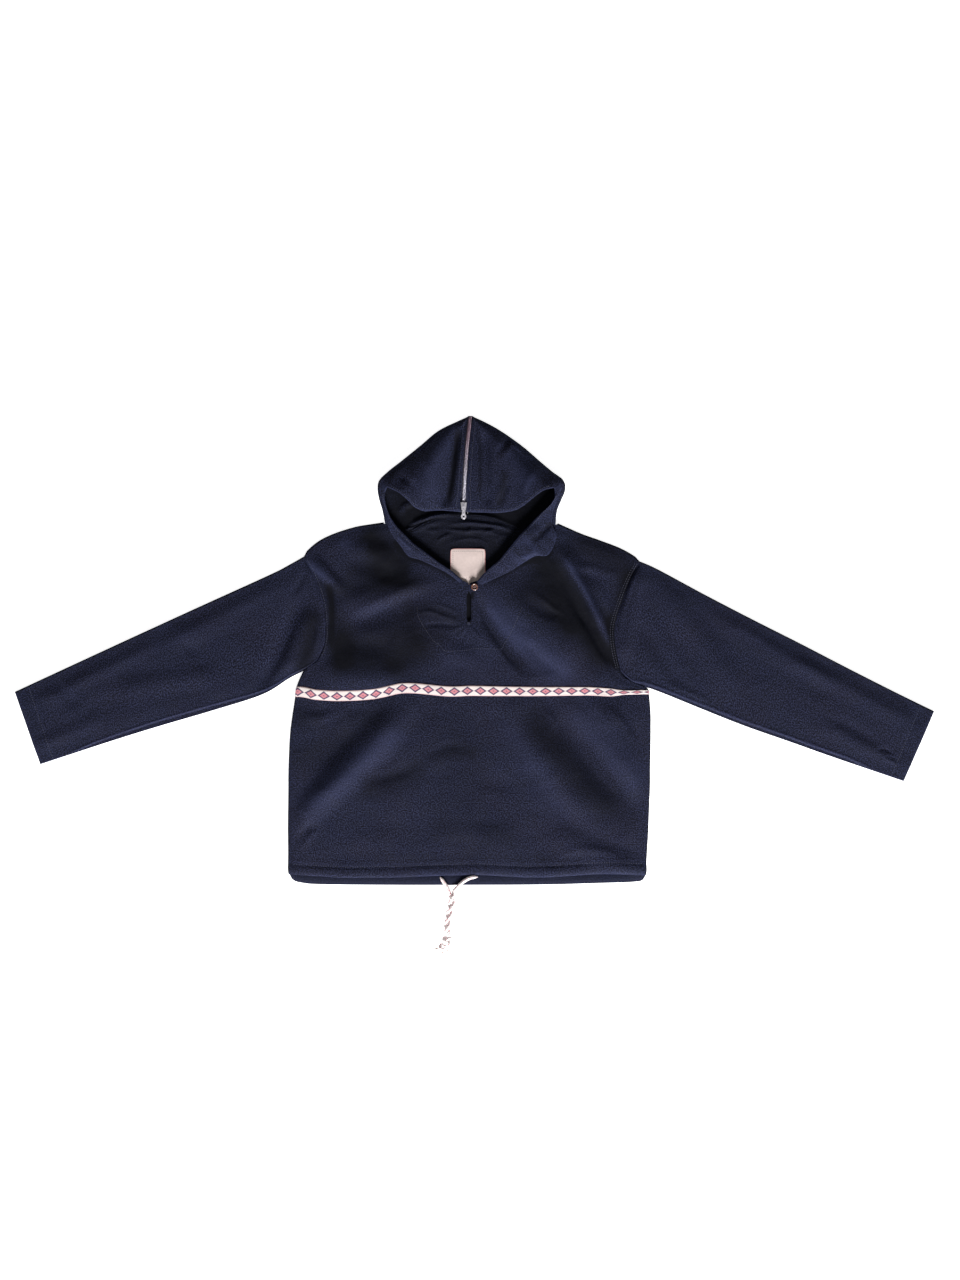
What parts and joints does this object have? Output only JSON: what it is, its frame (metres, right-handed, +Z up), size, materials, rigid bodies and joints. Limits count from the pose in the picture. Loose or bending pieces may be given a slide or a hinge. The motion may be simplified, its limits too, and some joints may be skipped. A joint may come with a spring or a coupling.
{
  "type": "hooded pullover smock",
  "caption": "Navy cotton twill hooded pullover smock laid flat, face up: zip down the hood's centre, turned-back neck edge, woven band across the chest, knotted drawcord at the hem.",
  "frame": {"origin": "on the surface the garment lies on, under the middle of its box without the drawcord", "axes": "+X from the left cuff to the right cuff as seen from above, +Y from the hem to the top of the hood, +Z up from the surface"},
  "size_m": [1.47, 0.8644, 0.0246],
  "materials": {
    "navy_twill": "dull navy cotton twill",
    "navy_twill_back": "dull navy cotton twill, inside of the back",
    "woven_band": "woven cotton band with a row of diamonds",
    "label_cloth": "woven patch, bare",
    "nickel": "nickel-plated zip metal",
    "zip_cloth": "woven zip tape",
    "brown_horn": "mottled brown shirt button",
    "cord_cotton": "braided cotton cord"
  },
  "bodies": {
    "garment": {"back_panel": "navy_twill_back", "front_panel": "navy_twill", "trim_band": "woven_band", "sleeve_left": "navy_twill", "sleeve_right": "navy_twill", "hood_left": "navy_twill", "hood_right": "navy_twill", "zip_tape": "zip_cloth", "zip_chain": "nickel", "zip_slider": "nickel", "neck_label": "label_cloth", "neck_button": "brown_horn", "drawcord_left": "cord_cotton", "drawcord_right": "cord_cotton", "drawcord_knot": "cord_cotton", "drawcord_tail_1": "cord_cotton", "drawcord_tail_2": "cord_cotton", "drawcord_tail_3": "cord_cotton"},
    "zip_pull": {"zip_pull": "nickel"}
  },
  "joints": [
    {"name": "pull_hinge", "type": "hinge", "parent": "garment", "child": "zip_pull", "pos_m": [-0.01721, 0.22973, 0.01606], "axis": [-1, 0, 0], "range_deg": [0, 160]}
  ]
}
